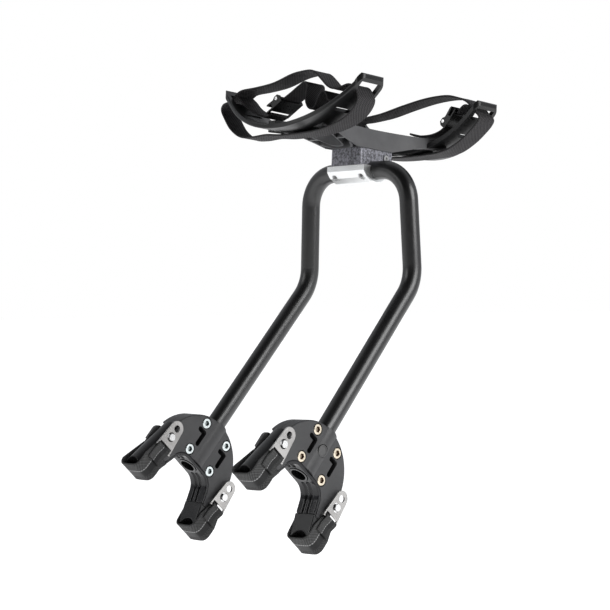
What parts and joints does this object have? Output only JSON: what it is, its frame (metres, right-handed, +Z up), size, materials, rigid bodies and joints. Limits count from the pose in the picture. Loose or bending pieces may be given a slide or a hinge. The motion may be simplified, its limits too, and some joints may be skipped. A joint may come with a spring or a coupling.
{
  "type": "bicycle cargo rack",
  "caption": "Bent-tube bicycle cargo rack that straddles a wheel: two strap-on horseshoe stay clamps below and a tilting strap cradle for a rolled bag on top.",
  "frame": {"origin": "midway between the two stays that the rack is strapped to, on the line through the four foot grooves", "axes": "+Z up, -Y towards the side the lower legs point to, X across the wheel"},
  "size_m": [0.205, 0.3723, 0.4683],
  "materials": {
    "tube_anodised": "satin black anodised",
    "shell_plastic": "satin moulded",
    "shell_trim": "satin moulded",
    "liner_rubber": "glossy ribbed",
    "pad_rubber": "satin",
    "bolt_steel": "zinc plated",
    "bolt_bronze": "bronze-toned plating",
    "nut_steel": "bright",
    "stud_steel": "polished",
    "tab_steel": "stainless, brushed",
    "foot_webbing": "woven webbing",
    "belt_webbing": "woven webbing",
    "clamp_aluminium": "bright satin",
    "block_cast": "dark speckled casting",
    "base_plastic": "satin moulded",
    "saddle_plastic": "satin moulded",
    "buckle_metal": "satin",
    "buckle_black": "glossy black"
  },
  "bodies": {
    "frame": {"frame_tube": "tube_anodised"},
    "left_clamp": {"left_outer_shell": "shell_plastic", "left_inner_shell": "shell_plastic", "left_round_plug": "shell_trim", "left_throat_liner": "liner_rubber", "left_clamp_bolts": "bolt_steel", "left_clamp_nuts": "nut_steel", "left_strap_studs": "stud_steel", "left_strap_anchors": "shell_trim", "left_upper_foot_pad": "pad_rubber", "left_upper_strap": "foot_webbing", "left_lower_foot_pad": "pad_rubber", "left_lower_strap": "foot_webbing"},
    "left_upper_tab": {"left_upper_tab": "tab_steel"},
    "left_lower_tab": {"left_lower_tab": "tab_steel"},
    "right_clamp": {"right_outer_shell": "shell_plastic", "right_inner_shell": "shell_plastic", "right_round_plug": "shell_trim", "right_throat_liner": "liner_rubber", "right_clamp_bolts": "bolt_bronze", "right_clamp_nuts": "nut_steel", "right_strap_studs": "stud_steel", "right_strap_anchors": "shell_trim", "right_upper_foot_pad": "pad_rubber", "right_upper_strap": "foot_webbing", "right_lower_foot_pad": "pad_rubber", "right_lower_strap": "foot_webbing"},
    "right_upper_tab": {"right_upper_tab": "tab_steel"},
    "right_lower_tab": {"right_lower_tab": "tab_steel"},
    "cradle": {"arch_clamp": "clamp_aluminium", "arch_clamp_screws": "bolt_steel", "mount_block": "block_cast", "mount_screws": "bolt_steel", "pivot_screw": "bolt_steel", "cradle_base": "base_plastic", "saddle_screws": "bolt_steel", "front_saddle": "saddle_plastic", "front_belt": "belt_webbing", "front_buckle_strap": "belt_webbing", "front_strap_tail": "belt_webbing", "front_buckle_frame": "buckle_metal", "front_buckle_pin": "stud_steel", "rear_saddle": "saddle_plastic", "rear_belt": "belt_webbing", "rear_buckle_strap": "belt_webbing", "rear_strap_tail": "belt_webbing", "rear_buckle_frame": "buckle_metal", "rear_buckle_pin": "stud_steel"},
    "front_buckle_lever": {"front_buckle_lever": "buckle_black"},
    "rear_buckle_lever": {"rear_buckle_lever": "buckle_black"}
  },
  "joints": [
    {"name": "left_clamp_turn", "type": "hinge", "parent": "frame", "child": "left_clamp", "pos_m": [-0.07805, 0.05016, 0.05304], "axis": [-0.0212, -0.6869, -0.7264], "range_deg": [-12, 12]},
    {"name": "left_upper_tab_flip", "type": "hinge", "parent": "left_clamp", "child": "left_upper_tab", "pos_m": [-0.06286, -0.01198, 0.05574], "axis": [0, 0.7266, -0.6871], "range_deg": [0, 90]},
    {"name": "left_lower_tab_flip", "type": "hinge", "parent": "left_clamp", "child": "left_lower_tab", "pos_m": [-0.06286, 0.05632, -0.00885], "axis": [0, 0.7266, -0.6871], "range_deg": [0, 90]},
    {"name": "right_clamp_turn", "type": "hinge", "parent": "frame", "child": "right_clamp", "pos_m": [0.07805, 0.05016, 0.05304], "axis": [0.0212, -0.6869, -0.7264], "range_deg": [-12, 12]},
    {"name": "right_upper_tab_flip", "type": "hinge", "parent": "right_clamp", "child": "right_upper_tab", "pos_m": [0.09495, -0.01151, 0.05623], "axis": [0, 0.7266, -0.6871], "range_deg": [0, 90]},
    {"name": "right_lower_tab_flip", "type": "hinge", "parent": "right_clamp", "child": "right_lower_tab", "pos_m": [0.09495, 0.05679, -0.00835], "axis": [0, 0.7266, -0.6871], "range_deg": [0, 90]},
    {"name": "cradle_tilt", "type": "hinge", "parent": "frame", "child": "cradle", "pos_m": [0, 0.20379, 0.3304], "axis": [1, 0, 0], "range_deg": [-20, 20]},
    {"name": "front_lever", "type": "hinge", "parent": "cradle", "child": "front_buckle_lever", "pos_m": [-0.02104, 0.12308, 0.40037], "axis": [0, 0.9962, -0.0872], "range_deg": [0, 70]},
    {"name": "rear_lever", "type": "hinge", "parent": "cradle", "child": "rear_buckle_lever", "pos_m": [0.05081, 0.29513, 0.38194], "axis": [0, -0.9962, 0.0872], "range_deg": [0, 70]}
  ]
}
